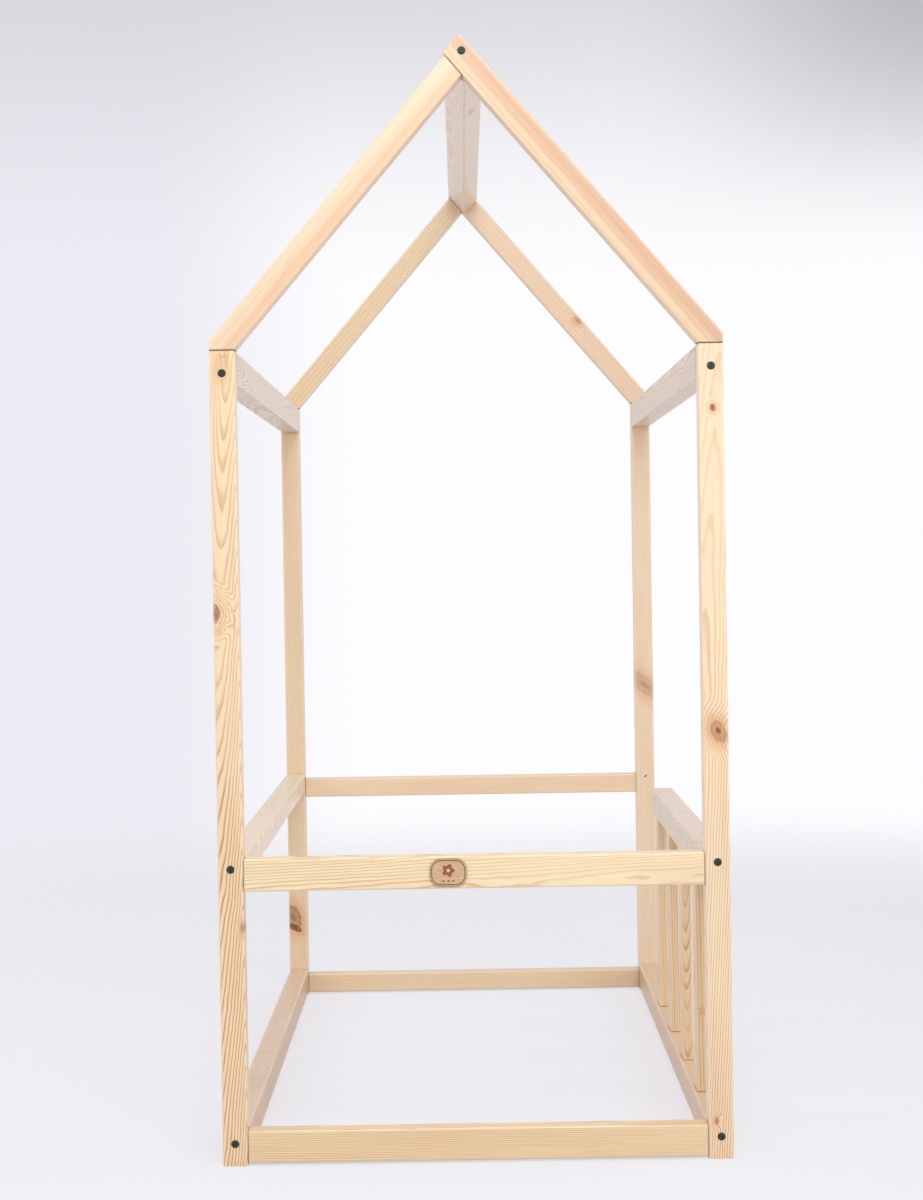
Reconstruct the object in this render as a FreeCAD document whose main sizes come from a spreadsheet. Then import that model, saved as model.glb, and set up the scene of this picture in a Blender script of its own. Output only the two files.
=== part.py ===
import FreeCAD, Part
import os
import re
import Sketcher

# A child's floor bed in the shape of a little house, of clear-lacquered pine sticks.
# X runs across the bed, Y from the front gable to the rear gable and Z up from the floor.
# The origin is on the floor under the middle of the bed. All lengths are in millimetres.

SIZES = [
    ("frame_width", 910, "outside of a left post to outside of a right post"),
    ("frame_length", 1690, "front face of a front post to rear face of a rear post"),
    ("post_size", 45, "side of a post's square section"),
    ("post_height", 1450, "floor to the cut that the rafters stand on"),
    ("edge_radius", 3.5, "rounding along every stick's long edges"),
    ("end_chamfer", 2, "eased edge round a post's top and round the guard's free end"),
    ("roof_pitch", 49.4, "slope of the rafters, in degrees"),
    ("rafter_depth", 45, "rafter across its slope"),
    ("rafter_thickness", 45, "rafter from its gable face to its inner face"),
    ("apex_proud", 4.8, "how far the through rafter's end stands above the other rafter"),
    ("ridge_slip", 6.5, "inner apex to the ridge beam's lower corner, down the slope"),
    ("beam_height", 58, "long beams and front rails, top to bottom"),
    ("beam_thickness", 45, "long beams, across"),
    ("slim_height", 45, "left middle rail and rear rails, top to bottom"),
    ("rail_thickness", 40, "short rails, front to back"),
    ("rail_recess", 1, "short rail's outer face behind the posts' outer faces"),
    ("floor_gap", 4, "floor to the underside of the bottom rails"),
    ("mid_rail_top", 547, "floor to the top of the middle rails and the guard"),
    ("guard_length", 1111, "guard's top rail, from the front post to its free end"),
    ("slat_width", 65, "guard slat, along the bed"),
    ("slat_thickness", 20, "guard slat, across the bed"),
    ("slat_inset", 5.5, "inner face of the guard to the slats' inner faces"),
    ("slat_pitch", 280, "one guard slat to the next"),
    ("slat_radius", 3, "rounding along a slat's edges"),
    ("low_bolt_rise", 36, "underside of the bottom rails to the lowest bolts"),
    ("mid_bolt_drop", 18, "top of the middle rails to the middle bolts"),
    ("top_bolt_drop", 41, "top of a post to its highest bolt"),
    ("apex_bolt_drop", 27, "tip of the gable to the ridge bolt"),
    ("bolt_diameter", 6, "shank of a frame bolt"),
    ("bolt_length", 100, "frame bolt under its head"),
    ("bolt_head_diameter", 14.5, "head of a frame bolt"),
    ("bolt_head_height", 2.8, "crown of the head above the wood"),
    ("bolt_crown_diameter", 9, "flat top of the head"),
    ("socket_size", 4, "hexagon socket across its corners"),
    ("socket_depth", 1.8, "depth of the hexagon socket"),
    ("bolt_hole_diameter", 7, "bolt hole through a post or a rafter"),
    ("tenon_thickness", 14, "tenons of the short rails, front to back"),
    ("tenon_length", 15, "the same tenons, into the post"),
    ("tenon_shoulder", 9, "top or bottom of a short rail to its tenon"),
    ("slat_tenon_thickness", 10, "tenons of the guard slats, across the bed"),
    ("slat_tenon_length", 12, "the same tenons, into the rail"),
    ("slat_shoulder", 9, "edge of a slat to its tenon"),
    ("key_thickness", 12, "loose tenon of the apex, along the slope"),
    ("key_width", 30, "loose tenon of the apex, front to back"),
    ("key_length", 32, "loose tenon of the apex, end to end"),
    ("key_bite", 14, "how deep that tenon goes into the through rafter"),
    ("screw_inset", 16, "outer face of a post to the screw in the rafter's foot"),
    ("screw_diameter", 5, "shank of the rafter screw"),
    ("screw_length", 60, "rafter screw under its head"),
    ("screw_head_diameter", 8, "head of the rafter screw"),
    ("screw_head_height", 3, "head of the rafter screw"),
    ("plaque_width", 66, "plywood plaque on the front middle rail"),
    ("plaque_height", 50, "plywood plaque, top to bottom"),
    ("plaque_thickness", 3, "plywood plaque, front to back"),
    ("plaque_corner", 20, "corner radius of the plaque"),
    ("plaque_shift", 46, "middle of the bed to the middle of the plaque, to the left"),
    ("fit_gap", 0.1, "between a tenon, bolt or screw and its hole, all round"),
    ("end_gap", 1, "spare depth of a hole or a mortise"),
    ("glue_gap", 0.02, "between two faces that are glued or drawn together"),
]

GABLES = ("front", "rear")
SIDES = ("left", "right")
SLAT_COUNT = 4

# How far off two places or two directions may be and still count as the same.
SAME_PLACE = 0.001
SAME_WAY = 0.999

doc = FreeCAD.newDocument("HouseFrameBed")
sheet = doc.addObject("Spreadsheet::Sheet", "Sizes")
for row, (alias, size, note) in enumerate(SIZES, start=1):
    sheet.set(f"A{row}", alias)
    sheet.set(f"B{row}", str(size))
    sheet.setAlias(f"B{row}", alias)
    sheet.set(f"C{row}", note)
doc.recompute()

ALIASES = {alias for alias, size, note in SIZES}

# What is worked out from the sheet. The gable's heights are above the tops of the posts.
HALF_WIDTH = "(frame_width / 2)"
HALF_LENGTH = "(frame_length / 2)"
APEX_HEIGHT = "((frame_width / 2 - post_size) * tan(roof_pitch))"
PLUMB_HEIGHT = "(rafter_depth / cos(roof_pitch) - post_size * tan(roof_pitch))"
TIP_HEIGHT = f"({PLUMB_HEIGHT} + {HALF_WIDTH} * tan(roof_pitch))"
POST_LOW_X = {"left": f"-{HALF_WIDTH}", "right": f"{HALF_WIDTH} - post_size"}
POST_LOW_Y = {"front": f"-{HALF_LENGTH}", "rear": f"{HALF_LENGTH} - post_size"}
BOLT_HEIGHT = {
    "low": "(floor_gap + low_bolt_rise)",
    "mid": "(mid_rail_top - mid_bolt_drop)",
    "top": "(post_height - top_bolt_drop)",
}
BAY_LENGTH = "(frame_length - 2 * post_size)"
BAY_WIDTH = "(frame_width - 2 * post_size)"
MID_RAIL_BOTTOM = "(mid_rail_top - beam_height)"
BOLT_HOLE = "bolt_hole_diameter"
SCREW_SEAT = (f"({PLUMB_HEIGHT} + screw_inset * tan(roof_pitch)"
              " - screw_head_height)")
SLAT_HEIGHT = f"({MID_RAIL_BOTTOM} - floor_gap - beam_height)"
SLAT_FIRST = f"(guard_length - slat_width - {SLAT_COUNT - 1} * slat_pitch)"


def cells(formula):
    """The formula with each size written as a cell of the sheet."""
    return re.sub(r"[a-z][a-z_]+", lambda word: f"Sizes.{word.group()}"
                  if word.group() in ALIASES else word.group(), formula)


def value(formula):
    """What a formula comes to now, as a plain number."""
    result = sheet.evalExpression(cells(formula))
    return float(getattr(result, "Value", result))


def bind(thing, name, formula):
    """Tie one property of an object, or one named constraint of a sketch, to the sheet."""
    thing.setExpression(name, cells(formula))


# Sketches and the features that are made from them.

PLANE = {"X": "YZ_Plane", "Y": "XZ_Plane", "Z": "XY_Plane"}
NORMAL = {"X": 1, "Y": -1, "Z": 1}
AXIS = {
    "X": FreeCAD.Vector(1, 0, 0),
    "Y": FreeCAD.Vector(0, 1, 0),
    "Z": FreeCAD.Vector(0, 0, 1),
}


def new_body(name, x, y, z):
    """A body whose own origin is at the given place."""
    body = doc.addObject("PartDesign::Body", name)
    body.Label = name
    for axis, formula in zip("xyz", (x, y, z)):
        bind(body, f"Placement.Base.{axis}", formula)
    return body


def new_sketch(body, run, level="0"):
    """A sketch square to the X, Y or Z axis, at a level along that axis."""
    sketch = body.newObject("Sketcher::SketchObject", "Sketch")
    planes = [plane for plane in body.Origin.OriginFeatures if plane.Role == PLANE[run]]
    sketch.AttachmentSupport = [(planes[0], "")]
    sketch.MapMode = "FlatFace"
    bind(sketch, "AttachmentOffset.Base.z", f"{NORMAL[run]} * ({level})")
    return sketch


def fix_point(sketch, geometry, point, x, y, name):
    """Hold one point of a sketch at x, y from the sketch's origin."""
    for kind, formula in (("DistanceX", x), ("DistanceY", y)):
        if value(formula) == 0:
            axis = -2 if kind == "DistanceX" else -1
            sketch.addConstraint(Sketcher.Constraint("PointOnObject", geometry, point, axis))
            continue
        number = sketch.addConstraint(
            Sketcher.Constraint(kind, -1, 1, geometry, point, value(formula)))
        sketch.renameConstraint(number, f"{name}_{kind}")
        bind(sketch, f"Constraints.{name}_{kind}", formula)


def draw_outline(sketch, corners):
    """A closed outline of straight lines, each corner held in place by its formulas."""
    points = [FreeCAD.Vector(value(x), value(y), 0) for x, y in corners]
    for start, end in zip(points, points[1:] + points[:1]):
        sketch.addGeometry(Part.LineSegment(start, end), False)
    for number in range(len(corners)):
        following = (number + 1) % len(corners)
        sketch.addConstraint(Sketcher.Constraint("Coincident", number, 2, following, 1))
    for number, (x, y) in enumerate(corners):
        fix_point(sketch, number, 1, x, y, f"corner{number}")


def draw_circles(sketch, centres, diameter):
    """Circles of one diameter round the given centres."""
    for number, (x, y) in enumerate(centres):
        centre = FreeCAD.Vector(value(x), value(y), 0)
        up = FreeCAD.Vector(0, 0, 1)
        sketch.addGeometry(Part.Circle(centre, up, value(diameter) / 2), False)
        fix_point(sketch, number, 3, x, y, f"centre{number}")
        radius = sketch.addConstraint(
            Sketcher.Constraint("Diameter", number, value(diameter)))
        sketch.renameConstraint(radius, f"diameter{number}")
        bind(sketch, f"Constraints.diameter{number}", diameter)


def pad(body, sketch, length, backwards=False):
    """Raise a sketch to a solid, along its axis or against it."""
    feature = body.newObject("PartDesign::Pad", "Pad")
    feature.Profile = sketch
    feature.Reversed = backwards
    bind(feature, "Length", length)
    doc.recompute()
    return feature


def cut(body, sketch, depth=None, backwards=False):
    """Sink a sketch into the body, to a depth or right through."""
    before = body.Shape.Volume
    feature = body.newObject("PartDesign::Pocket", "Pocket")
    feature.Profile = sketch
    feature.Reversed = backwards
    if depth is None:
        feature.Type = "ThroughAll"
    else:
        bind(feature, "Length", depth)
    doc.recompute()
    if not body.Shape.Volume < before:
        raise ValueError(f"{body.Label}: a cut took nothing away")
    return feature


def drill(body, run, level, toward, centres, diameter, depth=None):
    """Round holes along one axis, from a level, toward +1 or -1 along that axis."""
    sketch = new_sketch(body, run, level)
    draw_circles(sketch, centres, diameter)
    cut(body, sketch, depth, backwards=(toward == NORMAL[run]))


def rectangle(centre, size, extra="0"):
    """The corners of an upright rectangle round a centre, grown by extra all round."""
    (x, y), (wide, tall) = centre, size
    return [(f"{x} + {right} * ({wide} / 2 + {extra})", f"{y} + {up} * ({tall} / 2 + {extra})")
            for right, up in ((-1, -1), (1, -1), (1, 1), (-1, 1))]


def add_tenon(body, run, level, toward, centre, size, length):
    """A tenon that stands out of a stick's end, toward +1 or -1 along an axis."""
    sketch = new_sketch(body, run, level)
    draw_outline(sketch, rectangle(centre, size))
    pad(body, sketch, length, backwards=(toward != NORMAL[run]))


def mortise(body, run, level, toward, centre, size, length):
    """The hole for a tenon, from a level, toward +1 or -1 along an axis."""
    sketch = new_sketch(body, run, level)
    draw_outline(sketch, rectangle(centre, size, "fit_gap"))
    cut(body, sketch, f"{length} + end_gap", backwards=(toward == NORMAL[run]))


def turn_to_slope(sketch, x, z):
    """Turn a level sketch onto the right slope's underside, about a point x, z on it."""
    sketch.AttachmentOffset = FreeCAD.Placement(
        FreeCAD.Vector(value(x), 0, value(z)),
        FreeCAD.Rotation(AXIS["Y"], value("roof_pitch")))
    bind(sketch, "AttachmentOffset.Base.x", x)
    bind(sketch, "AttachmentOffset.Base.z", z)
    bind(sketch, "AttachmentOffset.Rotation.Angle", "roof_pitch")


EASING = {"Fillet": "Radius", "Chamfer": "Size"}


def ease_edges(body, kind, size, wanted):
    """A fillet or a chamfer along the edges that the test picks out."""
    base = body.Tip
    names = [f"Edge{number}" for number, edge in enumerate(base.Shape.Edges, start=1)
             if wanted(edge)]
    easing = body.newObject(f"PartDesign::{kind}", kind)
    easing.Base = (base, names)
    bind(easing, EASING[kind], size)
    doc.recompute()
    if not names or "Invalid" in easing.State:
        raise ValueError(f"{body.Label}: no edges were eased")


def runs_along(axis):
    """A test for straight edges that lie along an axis."""
    def test(edge):
        ends = [vertex.Point for vertex in edge.Vertexes]
        return abs((ends[-1] - ends[0]).normalize().dot(axis)) > SAME_WAY
    return test


def lies_at(run, level):
    """A test for edges that lie in a plane square to the X, Y or Z axis."""
    def test(edge):
        low = getattr(edge.BoundBox, f"{run}Min")
        high = getattr(edge.BoundBox, f"{run}Max")
        return level - SAME_PLACE < low and high < level + SAME_PLACE
    return test


def stick(name, run, place, section, length, radius="edge_radius", eased_end=None):
    """A planed stick along one axis, with rounded long edges and perhaps an eased end."""
    body = new_body(name, *place)
    sketch = new_sketch(body, run)
    across, tall = section
    draw_outline(sketch, [("0", "0"), (across, "0"), (across, tall), ("0", tall)])
    pad(body, sketch, length, backwards=(run == "Y"))
    ease_edges(body, "Fillet", radius, runs_along(AXIS[run]))
    if eased_end is not None:
        ease_edges(body, "Chamfer", "end_chamfer", lies_at(run, value(eased_end)))
    return body


# Posts.

SHORT_RAILS = {
    ("front", "mid"): (MID_RAIL_BOTTOM, "beam_height"),
    ("rear", "mid"): (MID_RAIL_BOTTOM, "slim_height"),
    ("front", "bottom"): ("floor_gap", "beam_height"),
    ("rear", "bottom"): ("floor_gap", "slim_height"),
}
RAIL_MIDDLE = "(rail_recess + rail_thickness / 2)"


def rail_tenon(height):
    """The section of a short rail's tenon: front to back, and top to bottom."""
    return ("tenon_thickness", f"({height} - 2 * tenon_shoulder)")


def make_post(gable, side):
    """One post, with its bolt holes, mortises and the hole for the rafter's screw."""
    name = f"post_{gable}_{side}"
    length = "(post_height - glue_gap)"
    body = stick(name, "Z", (POST_LOW_X[side], POST_LOW_Y[gable], "0"),
                 ("post_size", "post_size"), length, eased_end=length)
    drill(body, "Y", "0", 1, [("post_size / 2", BOLT_HEIGHT[level])
                              for level in ("low", "mid", "top")], BOLT_HOLE)
    depth_across = {"front": RAIL_MIDDLE, "rear": f"post_size - {RAIL_MIDDLE}"}[gable]
    inner_face, inward = {"left": ("post_size", -1), "right": ("0", 1)}[side]
    for level in ("mid", "bottom"):
        bottom, height = SHORT_RAILS[(gable, level)]
        centre = (depth_across, f"{bottom} + {height} / 2")
        mortise(body, "X", inner_face, inward, centre, rail_tenon(height), "tenon_length")
    screw_x = {"left": "screw_inset", "right": "post_size - screw_inset"}[side]
    screw_y = {"front": "rafter_thickness / 2", "rear": "post_size - rafter_thickness / 2"}
    drill(body, "Z", "post_height", -1, [(screw_x, screw_y[gable])],
          "screw_diameter + 2 * fit_gap", f"screw_length - {SCREW_SEAT} + end_gap")


# Rafters. The right one of each gable runs on to the tip; the left one butts against it.

RAFTER_LOW_Y = {"front": f"-{HALF_LENGTH}", "rear": f"{HALF_LENGTH} - rafter_thickness"}
JOINT_LENGTH = "(rafter_depth / sin(2 * roof_pitch))"
LEFT_OUTLINE = [
    ("0", "0"),
    ("post_size", "0"),
    (f"{HALF_WIDTH} - glue_gap", f"{APEX_HEIGHT} - glue_gap * tan(roof_pitch)"),
    (f"{HALF_WIDTH} - glue_gap - {JOINT_LENGTH} * cos(roof_pitch)",
     f"{APEX_HEIGHT} - glue_gap * tan(roof_pitch) + {JOINT_LENGTH} * sin(roof_pitch)"),
    ("0", PLUMB_HEIGHT),
]
TIP_X = f"({HALF_WIDTH} - apex_proud / (2 * sin(roof_pitch)))"
END_LENGTH = "((rafter_depth + apex_proud) / sin(2 * roof_pitch))"
RIGHT_OUTLINE = [
    ("frame_width", "0"),
    ("frame_width", PLUMB_HEIGHT),
    (TIP_X, f"{TIP_HEIGHT} + apex_proud / (2 * cos(roof_pitch))"),
    (f"{HALF_WIDTH} - {END_LENGTH} * cos(roof_pitch)",
     f"{APEX_HEIGHT} + {END_LENGTH} * sin(roof_pitch)"),
    ("frame_width - post_size", "0"),
]


def long_edges(edge):
    """A test for a rafter's long sloping edges and the upright ones at its foot."""
    ends = [vertex.Point for vertex in edge.Vertexes]
    length = (ends[-1] - ends[0]).Length
    is_long = length > value("frame_width") / 3 and abs(ends[-1].z - ends[0].z) > length / 3
    return is_long or runs_along(AXIS["Z"])(edge)


def make_rafter(gable, side):
    """One rafter, with the holes for its screw, the apex key and the ridge bolt."""
    name = f"rafter_{gable}_{side}"
    body = new_body(name, f"-{HALF_WIDTH}", RAFTER_LOW_Y[gable], "post_height")
    outline = {"left": LEFT_OUTLINE, "right": RIGHT_OUTLINE}[side]
    sketch = new_sketch(body, "Y")
    draw_outline(sketch, outline)
    pad(body, sketch, "rafter_thickness", backwards=True)
    ease_edges(body, "Fillet", "edge_radius", long_edges)
    screw_x = {"left": "screw_inset", "right": "frame_width - screw_inset"}[side]
    centre = [(screw_x, "rafter_thickness / 2")]
    drill(body, "Z", SCREW_SEAT, 1, centre, "screw_head_diameter + 2 * fit_gap")
    drill(body, "Z", SCREW_SEAT, -1, centre, "screw_diameter + 2 * fit_gap")
    bite = {"left": "(key_length - key_bite)", "right": "key_bite"}
    sketch = new_sketch(body, "Z")
    turn_to_slope(sketch, HALF_WIDTH, APEX_HEIGHT)
    key_centre = (f"-{JOINT_LENGTH} / 2", "rafter_thickness / 2")
    draw_outline(sketch, rectangle(key_centre, ("key_thickness", "key_width"), "fit_gap"))
    cut(body, sketch, f"{bite[side]} + end_gap", backwards=(side == "right"))
    if side == "right":
        drill(body, "Y", "0", 1, [(HALF_WIDTH, f"{TIP_HEIGHT} - apex_bolt_drop")], BOLT_HOLE)


# Beams that run the length of the bed. The bolts cut their threads in the ends.

BEAM_LOW_Y = f"-{HALF_LENGTH} + post_size + glue_gap"
BEAM_LENGTH = f"({BAY_LENGTH} - 2 * glue_gap)"


def drill_end(body, level, toward, x, z):
    """The hole that a bolt's shank fills, into the end of a beam."""
    drill(body, "Y", level, toward, [(x, z)], "bolt_diameter + 2 * fit_gap",
          "bolt_length - post_size + end_gap")


def make_beam(name, side, bottom, height, bolt, free_end=False):
    """A long beam between a front and a rear post, or to a free end short of the rear."""
    length = "(guard_length - glue_gap)" if free_end else BEAM_LENGTH
    low_x = {"left": f"-{HALF_WIDTH}", "right": f"{HALF_WIDTH} - beam_thickness"}[side]
    body = stick(name, "Y", (low_x, BEAM_LOW_Y, bottom), ("beam_thickness", height), length,
                 eased_end=length if free_end else None)
    bolt_x = {"left": "post_size / 2", "right": "beam_thickness - post_size / 2"}[side]
    bolt_z = f"{BOLT_HEIGHT[bolt]} - {bottom}"
    drill_end(body, "0", 1, bolt_x, bolt_z)
    if not free_end:
        drill_end(body, length, -1, bolt_x, bolt_z)
    return body


SLAT_LOW_X = f"({HALF_WIDTH} - beam_thickness + slat_inset)"


SLAT_TENON = ("slat_tenon_thickness", "(slat_width - 2 * slat_shoulder)")


def slat_places():
    """The middle of each slat, as a place across the guard and along it."""
    return [("slat_inset + slat_thickness / 2",
             f"{SLAT_FIRST} + {number} * slat_pitch + slat_width / 2 - glue_gap")
            for number in range(SLAT_COUNT)]


def make_beams():
    """Eaves, middle rail, bottom rails and the guard's top rail."""
    for side in SIDES:
        make_beam(f"eave_beam_{side}", side, "(post_height - beam_height)", "beam_height", "top")
    make_beam("mid_rail_left", "left", "(mid_rail_top - slim_height)", "slim_height", "mid")
    make_beam("bottom_rail_left", "left", "floor_gap", "beam_height", "low")
    bottom = make_beam("bottom_rail_right", "right", "floor_gap", "beam_height", "low")
    guard = make_beam("guard_top_rail", "right", MID_RAIL_BOTTOM, "beam_height", "mid",
                      free_end=True)
    for centre in slat_places():
        mortise(bottom, "Z", "beam_height", -1, centre, SLAT_TENON, "slat_tenon_length")
        mortise(guard, "Z", "0", 1, centre, SLAT_TENON, "slat_tenon_length")


RIDGE_CORNER_X = "(ridge_slip * cos(roof_pitch))"
RIDGE_CORNER_Z = f"(post_height + {APEX_HEIGHT} - ridge_slip * sin(roof_pitch))"
APEX_BOLT_Z = f"(post_height + {TIP_HEIGHT} - apex_bolt_drop)"
RIDGE_DROP = f"({APEX_BOLT_Z} - {RIDGE_CORNER_Z})"


def make_ridge():
    """The ridge beam, turned so that one face carries on the right slope's underside."""
    low_y = f"-{HALF_LENGTH} + rafter_thickness + glue_gap"
    length = "(frame_length - 2 * rafter_thickness - 2 * glue_gap)"
    body = stick("ridge_beam", "Y", (RIDGE_CORNER_X, low_y, RIDGE_CORNER_Z),
                 ("beam_thickness", "beam_height"), length)
    body.Placement = FreeCAD.Placement(
        body.Placement.Base,
        FreeCAD.Rotation(FreeCAD.Vector(0, -1, 0), 90 - value("roof_pitch")))
    bind(body, "Placement.Rotation.Angle", "90 - roof_pitch")
    # The bolt's place in the beam's own turned section.
    across = f"-{RIDGE_CORNER_X} * sin(roof_pitch) + {RIDGE_DROP} * cos(roof_pitch)"
    along = f"{RIDGE_CORNER_X} * cos(roof_pitch) + {RIDGE_DROP} * sin(roof_pitch)"
    drill_end(body, "0", 1, across, along)
    drill_end(body, length, -1, across, along)


# Short rails between the posts of a gable, with a tenon at either end.

RAIL_LOW_Y = {
    "front": f"-{HALF_LENGTH} + rail_recess",
    "rear": f"{HALF_LENGTH} - rail_recess - rail_thickness",
}
RAIL_LENGTH = f"({BAY_WIDTH} - 2 * glue_gap)"


def make_short_rail(gable, level):
    """One short rail with its two tenons."""
    bottom, height = SHORT_RAILS[(gable, level)]
    place = (f"-{BAY_WIDTH} / 2 + glue_gap", RAIL_LOW_Y[gable], bottom)
    body = stick(f"{level}_rail_{gable}", "X", place, ("rail_thickness", height), RAIL_LENGTH)
    centre = ("rail_thickness / 2", f"{height} / 2")
    add_tenon(body, "X", "0", -1, centre, rail_tenon(height), "tenon_length")
    add_tenon(body, "X", RAIL_LENGTH, 1, centre, rail_tenon(height), "tenon_length")


def make_slat(number):
    """One upright slat of the guard, with a tenon at the top and the bottom."""
    low_y = f"-{HALF_LENGTH} + post_size + {SLAT_FIRST} + {number} * slat_pitch"
    height = f"({SLAT_HEIGHT} - 2 * glue_gap)"
    body = stick(f"guard_slat_{number + 1}", "Z",
                 (SLAT_LOW_X, low_y, "floor_gap + beam_height + glue_gap"),
                 ("slat_thickness", "slat_width"), height, radius="slat_radius")
    centre = ("slat_thickness / 2", "slat_width / 2")
    add_tenon(body, "Z", "0", -1, centre, SLAT_TENON, "slat_tenon_length")
    add_tenon(body, "Z", height, 1, centre, SLAT_TENON, "slat_tenon_length")


def make_plaque():
    """The small plywood plaque on the face of the front middle rail."""
    low_z = f"{MID_RAIL_BOTTOM} + (beam_height - plaque_height) / 2"
    low_y = f"-{HALF_LENGTH} + rail_recess - plaque_thickness - glue_gap"
    body = new_body("front_plaque", "-plaque_shift - plaque_width / 2", low_y, low_z)
    sketch = new_sketch(body, "Y")
    draw_outline(sketch, [("0", "0"), ("plaque_width", "0"),
                          ("plaque_width", "plaque_height"), ("0", "plaque_height")])
    pad(body, sketch, "plaque_thickness", backwards=True)
    ease_edges(body, "Fillet", "plaque_corner", runs_along(AXIS["Y"]))


# Fasteners. Each kind is drawn once, upright with its seat at the origin, and then placed.

def turned(name, outline):
    """A turned piece: an outline of radius and height, spun round the Z axis."""
    body = new_body(name, "0", "0", "0")
    sketch = new_sketch(body, "Y")
    draw_outline(sketch, outline)
    spin = body.newObject("PartDesign::Revolution", "Spin")
    spin.Profile = sketch
    spin.ReferenceAxis = (sketch, ["V_Axis"])
    spin.Angle = 360
    doc.recompute()
    return body


def make_bolt():
    """A frame bolt: a low crowned head with a hexagon socket, on a long shank."""
    shank = "bolt_diameter / 2"
    body = turned("bolt_pattern", [
        ("0", "-bolt_length"),
        (shank, "-bolt_length"),
        (shank, "0"),
        ("bolt_head_diameter / 2", "0"),
        ("bolt_crown_diameter / 2", "bolt_head_height"),
        ("0", "bolt_head_height"),
    ])
    sketch = new_sketch(body, "Z", "bolt_head_height")
    corners = [(f"socket_size / 2 * cos({60 * turn})", f"socket_size / 2 * sin({60 * turn})")
               for turn in range(6)]
    draw_outline(sketch, corners)
    cut(body, sketch, "socket_depth")
    return body


def make_screw():
    """A wood screw with a cheese head; its thread and its point are left plain."""
    shank = "screw_diameter / 2"
    head = "screw_head_diameter / 2"
    return turned("screw_pattern", [
        ("0", "-screw_length"),
        (shank, "-screw_length"),
        (shank, "0"),
        (head, "0"),
        (head, "screw_head_height"),
        ("0", "screw_head_height"),
    ])


def placed(name, pattern, places):
    """Copies of one pattern, each a solid of its own, as one group."""
    group = doc.addObject("Part::Feature", name)
    group.Label = name
    copies = []
    for (x, y, z), direction in places:
        turn = FreeCAD.Rotation(AXIS["Z"], direction)
        base = FreeCAD.Vector(value(x), value(y), value(z))
        copies.append(pattern.Shape.transformed(
            FreeCAD.Placement(base, turn).toMatrix(), copy=True))
    group.Shape = Part.makeCompound(copies)
    return group


KEY_SINK = "(key_length - key_bite)"
OUTWARD = {"front": -AXIS["Y"], "rear": AXIS["Y"]}
OUTWARD_SIGN = {"front": "-", "rear": ""}
BOLT_X = {"left": f"-{HALF_WIDTH} + post_size / 2", "right": f"{HALF_WIDTH} - post_size / 2"}


def bolt_axes():
    """Where each frame bolt runs: its gable, X and Z."""
    axes = []
    for gable in GABLES:
        for side in SIDES:
            for level in ("low", "mid", "top"):
                if (gable, side, level) == ("rear", "right", "mid"):
                    continue  # The guard stops short of this post, so its hole is empty.
                axes.append((gable, BOLT_X[side], BOLT_HEIGHT[level]))
        axes.append((gable, "0", APEX_BOLT_Z))
    return axes


def place_bolts():
    """Bolts from both gables, each into the end of a beam."""
    bolts = []
    for gable, x, z in bolt_axes():
        seat = f"{OUTWARD_SIGN[gable]}({HALF_LENGTH} + glue_gap)"
        bolts.append(((x, seat, z), OUTWARD[gable]))
    placed("frame_bolts", make_bolt(), bolts)


def make_apex_keys():
    """The loose tenon in each gable, across the joint between its rafters."""
    for gable in GABLES:
        body = new_body(f"apex_key_{gable}", f"-{HALF_WIDTH}", RAFTER_LOW_Y[gable],
                        "post_height")
        sketch = new_sketch(body, "Z")
        turn_to_slope(sketch, f"({HALF_WIDTH} - {KEY_SINK} * sin(roof_pitch))",
                      f"({APEX_HEIGHT} - {KEY_SINK} * cos(roof_pitch))")
        key_centre = (f"-{JOINT_LENGTH} / 2", "rafter_thickness / 2")
        draw_outline(sketch, rectangle(key_centre, ("key_thickness", "key_width")))
        pad(body, sketch, "key_length")


def place_screws():
    """One upright screw through the foot of each rafter into the post under it."""
    places = []
    for gable in GABLES:
        for side, sign in (("left", "-"), ("right", "")):
            x = f"{sign}({HALF_WIDTH} - screw_inset)"
            y = f"{RAFTER_LOW_Y[gable]} + rafter_thickness / 2"
            z = f"post_height + {SCREW_SEAT} + glue_gap"
            places.append(((x, y, z), AXIS["Z"]))
    placed("rafter_screws", make_screw(), places)


def build():
    """Every piece of the bed."""
    for gable in GABLES:
        for side in SIDES:
            make_post(gable, side)
            make_rafter(gable, side)
        for level in ("mid", "bottom"):
            make_short_rail(gable, level)
    make_ridge()
    make_beams()
    for number in range(SLAT_COUNT):
        make_slat(number)
    make_plaque()
    make_apex_keys()
    place_bolts()
    place_screws()


def is_piece(thing):
    """True for what is written: a body or a group, but not the pattern that it copies."""
    kinds = ("PartDesign::Body", "Part::Feature")
    return thing.TypeId in kinds and not thing.Label.endswith("_pattern")


def check_and_write():
    """Stop on any failed object, then write each piece to its own file."""
    doc.recompute()
    for thing in doc.Objects:
        if "Invalid" in thing.State or "Error" in thing.State:
            raise ValueError(f"{thing.Label} failed: {thing.State}")
    os.makedirs("parts", exist_ok=True)
    for piece in filter(is_piece, doc.Objects):
        if piece.Shape.isNull() or not piece.Shape.isValid():
            raise ValueError(f"{piece.Label} has no valid shape")
        piece.Shape.exportStep(f"parts/{piece.Label}.step")
        print(piece.Label, len(piece.Shape.Solids), round(piece.Shape.Volume / 1000, 2), "cm3")


build()
check_and_write()
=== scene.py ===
import math
from dataclasses import dataclass

import bpy
from mathutils import Matrix, Vector


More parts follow.
